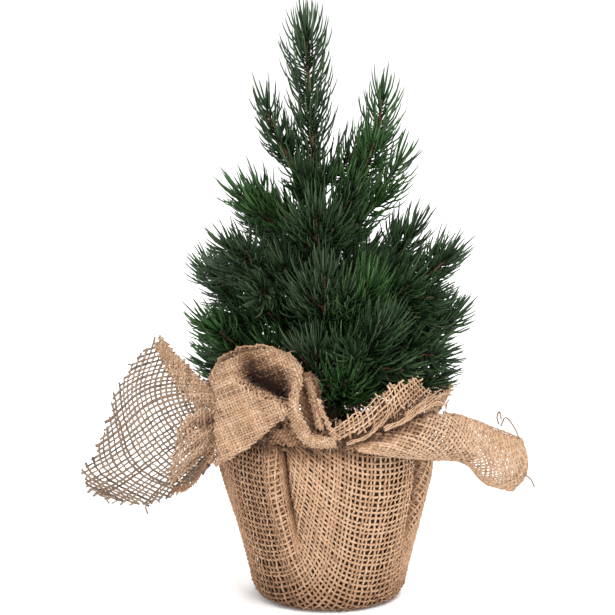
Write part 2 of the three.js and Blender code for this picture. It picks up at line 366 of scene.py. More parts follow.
def resample(line, count):
    """Points at even steps along a smooth curve through the given ones."""
    lengths = np.concatenate([[0], np.cumsum(np.linalg.norm(np.diff(line, axis=0), axis=1))])
    wanted = np.linspace(0, lengths[-1], count)
    tangents = np.gradient(line, lengths, axis=0)
    index = np.clip(np.searchsorted(lengths, wanted) - 1, 0, len(line) - 2)
    span = (lengths[index + 1] - lengths[index])[:, None]
    t = (wanted - lengths[index])[:, None] / span
    h00, h10 = 2 * t**3 - 3 * t**2 + 1, t**3 - 2 * t**2 + t
    h01, h11 = -2 * t**3 + 3 * t**2, t**3 - t**2
    return (h00 * line[index] + h10 * span * tangents[index]
            + h01 * line[index + 1] + h11 * span * tangents[index + 1])


def side_twig(line, share, hand, length, rise):
    """A twig that leaves a branch forwards and sideways, and turns up towards its tip."""
    i = int(share * (len(line) - 1))
    ahead = unit(line[i + 1] - line[i])
    sideways = unit(np.cross(ahead, (0, 0, 1))) * hand
    bend = line[i] + length * 0.5 * unit(ahead * 0.75 + sideways * 0.8 + UP * (0.05 + rise))
    tip = bend + length * 0.5 * unit(ahead * 0.95 + sideways * 0.42 + UP * (0.28 + rise))
    t = np.linspace(0, 1, 14)[:, None]
    return (1 - t) ** 2 * line[i] + 2 * t * (1 - t) * bend + t**2 * tip


def grow_needles(strands, line, start, length, spacing):
    """Needles in a spiral round a twig. They leave it at a slant and curve towards its tip."""
    reach = np.linalg.norm(np.diff(line, axis=0), axis=1).sum()
    count = int(reach * (1 - start) / spacing)
    share = start + (1 - start) * (np.arange(count) + rng.uniform(0, 0.8, count)) / count
    share = np.clip(share, 0, 1)
    fine = resample(line, 60)
    place = share * 59
    low = np.clip(place.astype(int), 0, 58)
    part = (place - low)[:, None]
    base = fine[low] * (1 - part) + fine[low + 1] * part
    ahead = unit(fine[low + 1] - fine[low])
    first = unit(np.cross(ahead, (0.21, 0.13, 0.97)))
    second = np.cross(ahead, first)
    turn = np.arange(count) * GOLDEN_TURN + rng.normal(0, 0.35, count)
    out = first * np.cos(turn)[:, None] + second * np.sin(turn)[:, None]
    tipness = np.clip((share - 0.86) / 0.14, 0, 1)
    rootness = np.clip((start + 0.16 - share) / 0.16, 0, 1)
    slant = np.radians(NEEDLE_SPREAD + rng.normal(0, 9, count)) * (1 - 0.66 * tipness)
    size = length * (1 + rng.normal(0, 0.11, count)) * (1 - 0.22 * tipness) * (1 - 0.25 * rootness)
    t = NEEDLE_RINGS
    closing = slant[:, None] * (1 - 0.86 * t[None, :])
    mean_sin = (np.sin(slant[:, None]) + np.sin(closing)) / 2
    mean_cos = (np.cos(slant[:, None]) + np.cos(closing)) / 2
    lengths = size[:, None] * t[None, :]
    paths = base[:, None, :] + out[:, None, :] * (mean_sin * lengths)[..., None]
    paths = paths + ahead[:, None, :] * (mean_cos * lengths)[..., None]
    sway = rng.normal(0, 0.9, (count, 1, 3)) * (t**2)[None, :, None]
    lift = np.zeros((1, len(t), 3))
    lift[0, :, 2] = NEEDLE_LIFT * t**2
    paths = paths + sway + lift
    width = NEEDLE_HALF_WIDTH * NEEDLE_TAPER
    thick = NEEDLE_HALF_THICK * NEEDLE_TAPER
    facing = np.broadcast_to(out[:, None, :], paths.shape)
    tones = np.clip(rng.beta(1.5, 1.9, count) + 0.12 * tipness, 0, 1)
    free = clear_of_cloth(paths)
    strands.add(paths[free], facing[free], width, thick, tones[free], corners=3)


def clear_of_cloth(paths):
    """Which needles keep clear of the rolled corner and of the cloth that stands round the neck."""
    from_roll = (paths - ROLL_MIDDLE) / ROLL_REACH
    in_roll = (from_roll**2).sum(axis=2) < 1
    in_collar = (np.hypot(paths[..., 0], paths[..., 1]) > COLLAR_RADIUS) & (paths[..., 2] < COLLAR_TOP)
    return ~(in_roll | in_collar).any(axis=1)


def add_branch(name, needle_finish, stem_finish):
    joint = next(j for j in frame["joints"] if j["child"] == name)
    root = np.array(joint["pos_m"]) / MM
    line = resample(stem_line(f"{name}_stem", root), 24)
    reach = np.linalg.norm(np.diff(line, axis=0), axis=1).sum()
    if name == "leader":
        twigs = [(line, 0.0, NEEDLE_LENGTH * 1.12)]
    else:
        twigs = [(line, BARE_SHARE, NEEDLE_LENGTH * (0.84 if name == "upper_left" else 1.04))]
    spray = SPRAYS.get(name, LONG_SPRAY if reach > LONG_BRANCH else SHORT_SPRAY)
    for share, hand, size, rise in [*spray, *MORE_TWIGS.get(name, [])]:
        twig = side_twig(line, share, hand, size * reach, rise)
        twigs.append((twig, BARE_TWIG_SHARE, NEEDLE_LENGTH * 0.94))
    foliage, twiggery = sprig_pieces(name, twigs, needle_finish, stem_finish)
    for piece, node, slot in ((foliage, "needles", "needles"), (twiggery, "stem", "stem")):
        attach(piece, name)
        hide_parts(f"{name}_{node}")


def sprig_pieces(name, twigs, needle_finish, stem_finish):
    """The needles and the bark of twigs given as (line, bare share, needle length)."""
    needles = Strands()
    bark = Strands()
    spacing = NEEDLE_SPACING * (OPEN_SPACING if name in OPEN_BRANCHES else 1.0)
    for twig, start, length in twigs:
        grow_needles(needles, twig, start, length, spacing)
        rings = resample(twig, 12)
        radius = np.linspace(1.15, 0.55, 12) * (1 + 0.08 * rng.normal(size=12))
        bark.add(rings[None], np.array([[[0.1, 0.2, 0.97]]]), radius[None], radius[None], [0.5], corners=6)
    return needles.piece(f"{name}_foliage", needle_finish), bark.piece(f"{name}_twigs", stem_finish)


def add_trunk_sprigs(needle_finish, stem_finish):
    """Short sprigs on the trunk itself, between the roots of the branches."""
    def foot_of(height, turn, radius):
        out = np.array([math.cos(turn), math.sin(turn), 0])
        return np.array([TRUNK_LEAN * (height - TRUNK_FOOT) / TRUNK_RISE, 0, height]) + out * radius, out

    twigs = []
    t = np.linspace(0, 1, 8)[:, None]
    for n, height in enumerate(np.linspace(SPRIG_LOW, SPRIG_HIGH, SPRIG_COUNT)):
        foot, out = foot_of(height, n * GOLDEN_TURN - 1.9, 4.6)
        length = rng.uniform(15, 22)
        line = foot + length * (out * (0.8 * t) + UP * (0.55 * t + 0.35 * t**2))
        twigs.append((line, 0.0, NEEDLE_LENGTH * 0.9))
    for height, turn in TOP_SPRIGS:
        foot, out = foot_of(height, turn, 4.4)
        twigs.append((foot + 15 * (out * (0.30 * t) + UP * t), 0.0, NEEDLE_LENGTH * 0.72))
    pieces = sprig_pieces("trunk_sprigs", twigs, needle_finish, stem_finish)
    for piece, slot in zip(pieces, ("needles", "stem")):
        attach(piece, "base")


# ---------------------------------------------------------------- hessian

PITCH = 2.9                  # between threads
YARN_HALF_WIDTH = 0.60
YARN_HALF_THICK = 0.40
DRAWN_HALF_WIDTH, DRAWN_HALF_THICK = 0.44, 0.36    # a thread drawn out of the weave
TWIST_POINTS = 36
WEAVE_HEIGHT = 0.42          # how far a thread rises and falls at each crossing
FINE_PITCH = 1.75            # threads closer than this are drawn with three sides instead of four


class Cloth:
    """Woven threads over any number of surfaces, all one sheet of hessian.

    width is to the usual thread's, tone and grey are added to the thread's colour, and anchors keeps each
    thread's line for the fibres that stand off it."""

    def __init__(self):
        self.threads = Strands()
        self.anchors = []

    def weave(self, surface, inside, low, high, bias=0.0, pitch=PITCH, width=1.0, fray=0.0, tone=0.0,
              uneven=1.0, grey=0.0, shade=None):
        """Weaves over surface(u, v), in millimetres of flat cloth, where inside(u, v) holds.

        bias turns the threads, in degrees; fray is how far they stick out at the outline; uneven scales
        the differences between threads; shade(u, v) is painted shade, added to the tone along them."""
        centre = (np.array(low) + np.array(high)) / 2
        reach = np.linalg.norm(np.array(high) - np.array(low)) / 2
        turn = math.radians(bias)
        warp, weft = np.array([math.cos(turn), math.sin(turn)]), np.array([-math.sin(turn), math.cos(turn)])
        steps = int(reach / pitch) + 1
        lattice = np.arange(-steps, steps + 1)
        drift = rng.normal(0, 0.09, (2, len(lattice))) * pitch
        i, j = np.meshgrid(lattice, lattice, indexing="ij")
        row = i * pitch + drift[0][:, None]
        column = j * pitch + drift[1][None, :]
        u = centre[0] + row * weft[0] + column * warp[0]
        v = centre[1] + row * weft[1] + column * warp[1]
        used = inside(u, v) & (u >= low[0]) & (u <= high[0]) & (v >= low[1]) & (v <= high[1])
        points = surface(u, v)
        shades = shade(u, v) if shade else np.zeros(u.shape)
        normals = self.normals(surface, u, v)
        sign = np.where((i + j) % 2, 1.0, -1.0)[..., None]
        corners = 3 if pitch < FINE_PITCH else 4
        for family in range(2):
            heights = points + normals * sign * WEAVE_HEIGHT * (1 if family == 0 else -1)
            heights = heights + rng.normal(0, 0.09, heights.shape)
            for n in range(len(lattice)):
                pick = (n, slice(None)) if family == 0 else (slice(None), n)
                self.run(heights[pick], normals[pick], used[pick], shades[pick], width, fray, tone, uneven,
                         grey, corners)

    def patch(self, rows, **how):
        """Weaves over the whole of a smooth sheet through rows of points."""
        surface, low, high = spline_sheet(rows)
        self.weave(surface, everywhere, low, high, **how)

    def normals(self, surface, u, v, step=0.4):
        across = surface(u + step, v) - surface(u - step, v)
        along = surface(u, v + step) - surface(u, v - step)
        return unit(np.cross(across, along))

    def border(self, surface, start, end, inward, count=3, width=1.0, tone=0.0, grey=0.0):
        """Threads side by side along a straight edge of the flat cloth."""
        for k in range(count):
            places = np.linspace(start, end, 56) + np.array(inward) * k
            u, v = places[:, 0], places[:, 1]
            points = surface(u, v) + rng.normal(0, 0.12, (len(u), 3))
            self.run(points, self.normals(surface, u, v), np.ones(len(u), bool), np.zeros(len(u)), width, 0,
                     tone, 1.0, grey)

    def twist(self, points, count, spread, turns, fan=0.0, tone=0.0):
        """Drawn threads twisted together along a line, which fan out at its end."""
        path = resample(np.array(points, float), TWIST_POINTS)
        share = np.linspace(0, 1, TWIST_POINTS)
        along = unit(np.gradient(path, axis=0))
        side = unit(np.cross(along, (0.1, -1.0, 0.1)))
        over = np.cross(side, along)
        for n in range(count):
            turn = 2 * math.pi * (n / count + turns * share * smooth(1.3, 0.6, share))
            turn = turn + rng.uniform(-0.4, 0.4)
            reach = spread * rng.uniform(0.5, 1.1) + fan * rng.uniform(0.5, 1.2) * smooth(0.66, 1.0, share)
            strand = path + side * (reach * np.cos(turn))[:, None]
            strand = strand + over * (reach * 0.7 * np.sin(turn))[:, None]
            last = rng.integers(28, TWIST_POINTS + 1)
            strand = strand[:last] + rng.normal(0, 0.10, (last, 3))
            strand_tone = 0.5 + tone + rng.normal(0, 0.14)
            self.threads.add(strand[None], over[None, :last], DRAWN_HALF_WIDTH, DRAWN_HALF_THICK,
                             [strand_tone], 3)
            self.anchors.append((strand, over[:last]))

    def run(self, points, normals, used, shades, width, fray, tone, uneven, grey, corners=3):
        """One thread, in as many stretches as the sheet's outline leaves of it."""
        index = np.where(used)[0]
        if len(index) < 2:
            return
        thickness = rng.normal(1.0, 0.12 * uneven)
        thread_tone = rng.normal(0.5 + tone, 0.2 * uneven)
        for stretch in np.split(index, np.where(np.diff(index) > 1)[0] + 1):
            if len(stretch) < 2:
                continue
            path, facing, shading = points[stretch], normals[stretch], shades[stretch]
            if fray:
                ends = [path[0] - path[1], path[-1] - path[-2]]
                reach = rng.uniform(0.25, 1.0, 2) * fray
                loose = [unit(e) * r + rng.normal(0, 0.16 * fray, 3) for e, r in zip(ends, reach)]
                path = np.vstack([path[0] + loose[0], path, path[-1] + loose[1]])
                facing = np.vstack([facing[0], facing, facing[-1]])
                shading = np.concatenate([shading[:1], shading, shading[-1:]])
            slubs = 1 + 0.13 * rng.normal(size=len(path))
            half = YARN_HALF_WIDTH * width * thickness * np.clip(slubs, 0.7, 1.4)
            # Tones may go below zero so that painted shade and the dark sheets reach the darkest stop.
            tones = np.clip(thread_tone, -1, 1) + shading
            self.threads.add(path[None], facing[None], half[None],
                             YARN_HALF_THICK * min(thickness, 1.15), tones[None], corners, grey)
            self.anchors.append((path, facing))

    def loose(self, *points):
        """A thread that has come out of the weave at a cut edge."""
        path = resample(np.array(points, float), 10)
        facing = np.array([[[0.2, -0.9, 0.3]]])
        self.threads.add(path[None], facing, 0.42, 0.36, [0.2], grey=0.8)


def everywhere(u, v):
    return np.ones(np.shape(u), bool)


def spline_sheet(rows):
    """A smooth sheet through a grid of points, and its size; u runs along the rows and v from row to row."""
    grid = np.array(rows, float)
    width = np.linalg.norm(np.diff(grid, axis=1), axis=2).sum(axis=1).mean()
    length = np.linalg.norm(np.diff(grid, axis=0), axis=2).sum(axis=0).mean()

    def blend(values, count, where):
        """Catmull-Rom through the points values(0) to values(count - 1), and straight on beyond the ends."""
        last = count - 1
        place = np.clip(where, 0, 1) * last
        i = np.clip(place.astype(int), 0, last - 1)
        t = (place - i)[..., None]
        outside = (where < 0) | (where > 1)
        beyond = np.where(outside, np.where(where < 0, where, where - 1) * last, 0)[..., None]
        p1, p2 = values(i), values(i + 1)
        p0 = np.where((i == 0)[..., None], 2 * p1 - p2, values(np.maximum(i - 1, 0)))
        p3 = np.where((i + 1 == last)[..., None], 2 * p2 - p1, values(np.minimum(i + 2, last)))
        inner = 0.5 * (2 * p1 + (p2 - p0) * t + (2 * p0 - 5 * p1 + 4 * p2 - p3) * t**2
                       + (3 * p1 - 3 * p2 + p3 - p0) * t**3)
        return inner + beyond * (p2 - p1)

    def surface(u, v):
        su, sv = np.asarray(u) / width, np.asarray(v) / length
        by_row = np.stack([blend(lambda i, row=row: row[i], len(row), su) for row in grid])
        place = np.indices(sv.shape)
        return blend(lambda i: by_row[(i, *place)], len(grid), sv)

    return surface, (0, 0), (width, length)


# The fitted wrap. The square's corners point to the front, right, back and left of the pot. Half-way
# between two corners the threads run upright; round a corner they run on the bias and crowd together,
# and what the crowding can't take up is hidden in one pleat to each corner.
BASE_REACH = 34.0            # from the sheet's middle to the edge of the pot's base
NECK = 92.0                  # height of the neck, measured up the wall
FRONT_NECK = 98.0            # the same behind the rolled corner, where the cloth stands higher
WALL_RISE = 0.975            # height gained for each millimetre up the wall
CORNER_TURN = -98.0          # azimuth of the corner that is rolled up at the front
QUARTER = 90.0
CROWD_HALF_WIDTH = 25.0      # degrees round the pot over which a corner's threads crowd
CROWD_MOST = 0.95            # how much closer the threads may come there
PLEAT_HALF_WIDTH = 1.1
QUARTER_STEPS = 181          # directions of the flat sheet that are looked up in each quarter
WALL_LEVELS = np.linspace(0, 104, 53)
WALL_FOOT = 0.9              # height of the cloth under the pot
FRONT_CREASE = 0.8           # from the front pleat to the crease beside it, a groove darkened with painted shade, in degrees
RIGHT_CREASE = -33           # azimuth of the crease at the right


def smooth(edge0, edge1, x):
    t = np.clip((x - edge0) / (edge1 - edge0), 0, 1)
    return t * t * (3 - 2 * t)


def wrap_radius(height):
    return np.interp(height, [0, 2, 6, 12, 40, 62, 74, 86, 104],
                     [33.5, 36, 37.6, 38.7, 45.4, 50.4, 51.8, 51.6, 47.0])


def pleat_place(quarter, height):
    """How far a quarter's pleat lies from its corner, in degrees round the pot."""
    front = -9.0 - 10.0 * np.clip(height / NECK, 0, 1)
    return {-1: front, 0: -25.0 + 0 * height, 1: 11.0 + 0 * height, -2: 3.0 + 0 * height}[quarter]


def quarter_map(quarter):
    """For each level up the wall, where a direction in the flat sheet comes to lie round the pot."""
    wall = np.linspace(-QUARTER / 2, QUARTER / 2, 721)
    sheet = np.linspace(-QUARTER / 2, QUARTER / 2, QUARTER_STEPS)
    table = []
    for height in WALL_LEVELS:
        excess = QUARTER * ((BASE_REACH + height) / wrap_radius(height) - 1)
        crowd = min(max(excess, 0) / (CROWD_HALF_WIDTH * math.sqrt(math.pi)), CROWD_MOST)
        hidden = max(excess - crowd * CROWD_HALF_WIDTH * math.sqrt(math.pi), 0)
        density = 1 + crowd * np.exp(-((wall / CROWD_HALF_WIDTH) ** 2))
        pleat = np.exp(-(((wall - pleat_place(quarter, height)) / PLEAT_HALF_WIDTH) ** 2))
        density += hidden / (PLEAT_HALF_WIDTH * math.sqrt(math.pi)) * pleat
        total = np.concatenate([[0], np.cumsum((density[1:] + density[:-1]) / 2)])
        table.append(np.interp(sheet, (total / total[-1] - 0.5) * QUARTER, wall))
    return np.array(table)


def fold(azimuth, height, crest, low, high, amount, half_width):
    """A rounded fold that runs up the wall along the crest line, fading in between low and high."""
    return amount * smooth(low, high, height) * np.exp(-(((azimuth - crest) / half_width) ** 2))


def on_wall(azimuth, radius, height):
    """Points on the pot's wall, the height being measured up the wall."""
    turn = np.radians(azimuth)
    return np.stack([radius * np.cos(turn), radius * np.sin(turn), WALL_FOOT + height * WALL_RISE], axis=-1)


def wrap_relief(azimuth, height):
    """How far the wrap's folds stand off its plain shape."""
    pleat = CORNER_TURN + pleat_place(-1, height)
    ridge = fold(azimuth, height, pleat - 6.0, 6, 60, 5.6, 4.6)
    ridge = ridge + fold(azimuth, height, pleat + FRONT_CREASE, 24, 58, -4.6, 2.0)
    swell = fold(azimuth, height, pleat + 16, 20, 70, 1.8, 11)
    edge = fold(azimuth, height, RIGHT_CREASE, 32, 55, -4.4, 2.2)
    edge = edge + fold(azimuth, height, -26, 25, 60, 2.6, 4.0)
    left = fold(azimuth, height, 175, 15, 75, 3.6, 6.0) + fold(azimuth, height, -185, 15, 75, 3.6, 6.0)
    back = fold(azimuth, height, 84, 10, 75, 4.6, 6.0) + fold(azimuth, height, 93, 45, 75, -3.0, 2.6)
    hollow = fold(azimuth, height, -140, 18, 60, -1.4, 9) + fold(azimuth, height, -62, 10, 50, 0.9, 14)
    gathers = 0.55 * np.sin(np.radians(azimuth * 13)) * smooth(58, 84, height)
    return ridge + swell + edge + left + back + hollow + gathers


def add_wrap(cloth):
    tables = {quarter: quarter_map(quarter) for quarter in (-2, -1, 0, 1)}

    def to_wall(a, b):
        away = np.hypot(a, b)
        turn = np.degrees(np.arctan2(b, a))
        quarter = np.clip(np.floor(turn / QUARTER), -2, 1)
        local = turn - quarter * QUARTER - QUARTER / 2
        height = away - BASE_REACH
        height = height * (1 + 0.10 * np.exp(-((local / 18) ** 2)) * smooth(0, 50, height))
        level = np.clip(height / WALL_LEVELS[1], 0, len(WALL_LEVELS) - 1.001)
        column = np.clip((local / QUARTER + 0.5) * (QUARTER_STEPS - 1), 0, QUARTER_STEPS - 1.001)
        i, j = level.astype(int), column.astype(int)
        s, t = level - i, column - j
        azimuth = np.zeros(np.shape(a))
        for k, table in tables.items():
            low = table[i, j] * (1 - t) + table[i, j + 1] * t
            high = table[i + 1, j] * (1 - t) + table[i + 1, j + 1] * t
            azimuth = np.where(quarter == k, low * (1 - s) + high * s, azimuth)
        return azimuth + CORNER_TURN + QUARTER * (quarter + 1), height

    def surface(a, b):
        azimuth, height = to_wall(a, b)
        under = np.clip(-height, 0, BASE_REACH)
        height = np.maximum(height, 0)
        radius = np.where(under > 0, wrap_radius(0) * (1 - under / BASE_REACH),
                          wrap_radius(height) + wrap_relief((azimuth + 190) % 360 - 190, height))
        return on_wall(azimuth, radius, height)

    def inside(a, b):
        azimuth, height = to_wall(a, b)
        front = smooth(-152, -140, azimuth) * smooth(-20, -32, azimuth)
        return height < NECK + (FRONT_NECK - NECK) * front

    def shade(a, b):
        """Painted shade: darker in the creases, under the roll, round the foot and left of the front pleat.
        """
        azimuth, height = to_wall(a, b)
        pleat = CORNER_TURN + pleat_place(-1, height)
        creases = fold(azimuth, height, pleat + FRONT_CREASE, 30, 62, -1.3, 1.5)
        creases = creases + fold(azimuth, height, RIGHT_CREASE, 25, 50, -1.1, 1.9)
        neck = smooth(78, 90, height) * smooth(-150, -140, azimuth) * smooth(-56, -74, azimuth)
        foot = smooth(24, 2, height)
        left = smooth(pleat - 2, pleat - 9, azimuth) * smooth(-200, -185, azimuth)
        return creases - 0.9 * neck - 0.44 * foot - 0.26 * left

    reach = NECK + BASE_REACH + 7
    cloth.weave(surface, inside, (-reach, -reach), (reach, reach), uneven=0.6, shade=shade)


def add_wrap_folds(cloth):
    """The cloth that lies double behind the two creases, its yarn painted darker as shade."""
    mean_radius, behind = 48, 1.5
    for middle, reach, low, high, tone in ((-115, 9, 14, 92, -0.3), (-25, 17, 10, 90, -0.2)):
        def surface(u, v, middle=middle):
            azimuth = middle + np.degrees(u / mean_radius)
            return on_wall(azimuth, wrap_radius(v) + wrap_relief(azimuth, v) - behind, v)

        cloth.weave(surface, everywhere, (-reach, low), (reach, high), bias=12, pitch=1.6, width=1.12,
                    tone=tone)


def add_tail_left(cloth):
    open_mesh = [
        [(-50, -26, 106), (-60, -27, 114), (-72, -25, 125), (-85, -20, 135)],
        [(-53, -28, 97), (-70, -33, 105), (-88, -28, 110), (-102, -20, 112)],
        [(-55, -26, 86), (-73, -28, 87), (-93, -24, 87), (-110, -18, 86)],
        [(-57, -22, 77), (-73, -20, 69), (-96, -18, 65), (-121, -15, 64)],
        [(-58, -20, 70), (-72, -17, 58), (-89, -16, 50), (-112, -14, 52)],
    ]
    cloth.patch(open_mesh, bias=38, pitch=2.3, width=0.9, fray=2.4, tone=-0.5, grey=0.8)
    folded = [
        [(-50, -30, 105), (-60, -31, 114), (-70, -28, 124), (-82, -21, 136)],
        [(-52, -32, 100), (-62, -34, 110), (-72, -31, 120), (-83, -22, 133)],
        [(-54, -31, 93), (-65, -33, 103), (-75, -31, 115), (-85, -21, 131)],
    ]
    cloth.patch(folded, bias=30, pitch=1.3, width=0.95, fray=1.6, tone=-0.05, grey=0.25)
    crumple = [
        [(-53, -34, 104), (-59, -37, 103), (-65, -36, 101), (-72, -33, 96)],
        [(-55, -34, 95), (-61, -38, 92), (-68, -36, 89), (-75, -32, 84)],
        [(-56, -32, 86), (-63, -35, 82), (-70, -32, 76), (-77, -28, 71)],
        [(-58, -28, 81), (-64, -29, 76), (-70, -27, 69.5), (-77, -24, 62)],
    ]
    surface, low, high = spline_sheet(crumple)

    def crumpled(u, v):
        ripple = 1.3 * np.sin(v * 0.60 + u * 0.10) + 0.6 * np.sin(v * 1.1 - u * 0.2 + 1.3)
        return surface(u, v) + ripple[..., None] * np.array([0.1, -1.0, 0.15])

    def behind(u, v):
        return crumpled(u, v) + np.array([0, 1.2, 0])

    def inner_part(u, v):
        return u < 11.5 + 0.10 * v + 1.5 * np.sin(v * 0.5)

    # Painted shade along the crease near the inner part of the crumple.
    def crease_shade(u, v):
        return -1.1 * np.exp(-(((v - 6.0 - 0.15 * u) / 2.8) ** 2)) * smooth(17, 5, u)

    cloth.weave(crumpled, everywhere, low, high, bias=22, pitch=1.9, width=0.92, fray=2.6, tone=-0.04,
                grey=0.3, shade=crease_shade)
    cloth.weave(behind, inner_part, low, high, bias=8, pitch=1.5, width=1.0, fray=1.6, tone=-0.1, grey=0.2,
                shade=crease_shade)
    corner = [
        [(-61, -30, 97), (-53, -37, 97)],
        [(-60.5, -30, 84), (-53, -36, 84)],
        [(-59.5, -28, 73.5), (-54, -34, 73.5)],
    ]
    cloth.patch(corner, bias=35, pitch=1.9, width=0.95, tone=-0.35)
    strap = [
        [(-57, -27, 79), (-62, -29, 70), (-68, -28, 63.5), (-76, -23, 60.5)],
        [(-59, -28, 76), (-64, -31, 67), (-70, -29, 60.5), (-77, -23, 57.5)],
    ]
    cloth.patch(strap, pitch=1.3, width=1.0, fray=0.6, tone=-0.45)
    cloth.loose((-111, -14, 56), (-110, -15, 53), (-108, -16, 50))
    cloth.loose((-84, -16, 57), (-86, -18, 52), (-90, -19, 50), (-89, -20, 46))


# The front corner, rolled outwards into the mouth of a trumpet. Its outline is given round the throat, as
# a direction in degrees (0 right, 90 up) and a reach in millimetres.
THROAT = (-25.0, 102.5)
LIP_START, LIP_HEIGHT, LIP_SLOPE = -38.0, 106.0, -0.50     # the near lip, which hides the throat
MOUTH_DEPTH = 27
VIEW_SHIFT = 0.21            # how much higher a point is seen for each millimetre nearer the front
MOUTH = np.array([(-180, 32), (-160, 33), (-138, 38.5), (-130, 47), (-123, 34), (-108, 19.5), (-90, 13.5),
                  (-55, 10), (-43, 8.5), (-15, 8.5), (13, 10.5), (48, 18), (78, 20.5), (113, 24), (142, 29),
                  (157, 33.5), (169, 36), (180, 32)], float)


def add_roll_front(cloth):
    def outer(turn):
        return np.interp(np.degrees(turn), MOUTH[:, 0], MOUTH[:, 1])

    def polar(x, z):
        dx, dz = x - THROAT[0], z - THROAT[1]
        return np.hypot(dx, dz), np.arctan2(dz, dx)

    def pit(x, z):
        """How deep the mouth is: it drops behind the near lip and climbs again to the far rim."""
        above = 0.92 * (z - LIP_HEIGHT - LIP_SLOPE * (x - LIP_START))
        sides = smooth(-48, -37, x) * (1 - smooth(-23, -11.5, x))
        return MOUTH_DEPTH * smooth(-1.0, 2.5, above) * np.exp(-((np.maximum(above, 0) / 17.5) ** 2)) * sides

    def surface(x, z):
        away, turn = polar(x, z)
        share = away / outer(turn)
        back_edge = smooth(-0.2, 0.7, np.cos(turn - math.radians(118)))
        curl = (1.0 + 15 * back_edge) * np.clip(share, 0, 1.3) ** 3.2
        waves = 0.8 * np.sin(x * 0.24 + z * 0.30) + 0.5 * np.sin(z * 0.55 - x * 0.17)
        depth = -58 - 0.45 * (x + 20) + pit(x, z) + curl + waves
        return np.stack([x, depth, z - VIEW_SHIFT * depth], axis=-1)

    def inside(x, z):
        away, turn = polar(x, z)
        return away < outer(turn)

    def shade(x, z):
        """Painted shade: darker the deeper it lies."""
        return -0.0022 * pit(x, z) ** 2 - 0.012 * np.maximum(pit(x, z) - 5, 0)

    def lining(x, z):
        return surface(x, z) + np.array([0, 1.3, 0.25])

    def in_mouth(x, z):
        return inside(x, z) & (pit(x, z) > 0.8)

    cloth.weave(surface, inside, (-66, 60), (-6, 130), bias=24, pitch=1.3, width=1.14, tone=0.14, shade=shade)
    cloth.weave(lining, in_mouth, (-50, 80), (-8, 130), bias=-12, pitch=1.2, width=1.2, shade=shade)
    back = [[
        (-57, -31, 118), (-54, -26, 125), (-46, -24, 130), (-34, -28, 133), (-21, -37, 132), (-13, -46, 126),
    ], [
        (-54, -21, 104), (-51, -15, 110), (-44, -14, 115), (-33, -17, 118), (-22, -26, 115), (-14, -40, 110),
    ], [
        (-48, -26, 88), (-46, -25, 91), (-41, -30, 93), (-34, -36, 94), (-26, -42, 93), (-18, -47, 91),
    ]]
    cloth.patch(back, bias=12, pitch=2.2, width=1.15, tone=-0.05)


def add_lip_front(cloth):
    near_leg = [
        [(-17, -52, 121), (-20, -56, 110), (-18, -58, 101), (-14, -58, 93), (-6, -57, 89), (3, -56, 89)],
        [(-14, -56, 122), (-17, -61, 111), (-15, -62, 102), (-11, -62, 95), (-5, -61, 92), (3, -59, 92)],
        [(-13, -52, 122), (-15, -56, 111), (-12, -58, 103), (-9, -58, 97), (-4, -57, 95), (2, -56, 94)],
    ]
    far_leg = [
        [(-13, -46, 121), (-11, -48, 115), (-8.8, -50, 108), (-6.5, -53, 97)],
        [(-11.5, -48.5, 122), (-9.5, -51, 116), (-7.3, -53, 109), (-4.5, -56, 97)],
        [(-9.5, -46, 121), (-7.5, -48, 115), (-5.8, -50, 108), (-2.5, -54, 97)],
    ]
    edge = [
        [(-6.5, -51, 111), (-4.5, -53, 104), (-1, -56, 98), (2, -58, 92)],
        [(-4.8, -49, 112), (-2.3, -51, 105), (1.5, -54, 99), (6, -56, 93)],
    ]
    for rows, tone in ((near_leg, 0.12), (far_leg, -0.05), (edge, 0.15)):
        cloth.patch(rows, bias=24, pitch=1.3, width=1.05, fray=0.35, tone=tone)
    # Gathered cloth under the roll and lip, its yarn painted dark as the shadow there.
    gathered = [
        [(-44, -31, 97), (-32, -43, 97), (-20, -50, 97), (-8, -53, 97), (4, -52, 96)],
        [(-42, -33, 90), (-33, -44, 89), (-20, -51, 88), (-8, -55, 88), (6, -54, 88)],
    ]
    cloth.patch(gathered, bias=30, pitch=1.5, width=1.15, tone=-0.6)
    # A dark sheet behind the slot between the legs: painted shade.
    inner = [
        [(-16, -44, 122), (-10, -43, 123), (-5, -42, 118)],
        [(-15, -46, 112), (-9, -45, 110), (-3, -45, 106)],
        [(-12, -50, 94), (-6, -51, 92), (1, -51, 92)],
    ]
    cloth.patch(inner, bias=10, pitch=1.2, width=1.15, tone=-0.85)


def add_flap_right(cloth):
    collar = [
        [(-1, -52, 91), (13, -53, 95), (27, -49, 101), (39, -40, 106), (49, -29, 108)],
        [(1, -53, 95), (14, -54, 101), (27, -49, 108), (37, -42, 112), (46, -32, 113)],
        [(3, -50, 99), (14, -50, 106), (26, -46, 114), (35, -41, 118), (43, -34, 118)],
    ]
    cloth.patch(collar, bias=14, pitch=2.3, width=0.80, fray=2.2, tone=0.1)
    # A dark sheet under the collar, between it and the tail: painted shade.
    inner = [
        [(2, -50, 90), (18, -49, 90), (32, -44, 92), (46, -34, 96)],
        [(4, -49, 94), (19, -48, 98), (32, -43, 103), (46, -32, 106)],
        [(7, -46, 98), (20, -45, 104), (32, -40, 111), (44, -31, 113)],
    ]
    cloth.patch(inner, bias=12, pitch=1.5, width=1.15, tone=-0.75)
    cloth.twist([(8, -57, 91), (16, -57.5, 94), (23, -55.5, 99), (29, -51.5, 106), (32, -50, 111)],
                count=4, spread=0.8, turns=3, fan=1.3, tone=0.1)
    cloth.twist([(26, -55, 98), (36, -50, 101), (46, -41, 105), (53, -36, 107), (60, -32, 106)],
                count=7, spread=1.0, turns=2, fan=4.4, tone=0.1)
    cloth.twist([(36, -49, 103), (44, -42, 107), (51, -36, 110), (57, -33, 112)],
                count=4, spread=0.8, turns=1, fan=2.2, tone=0.2)


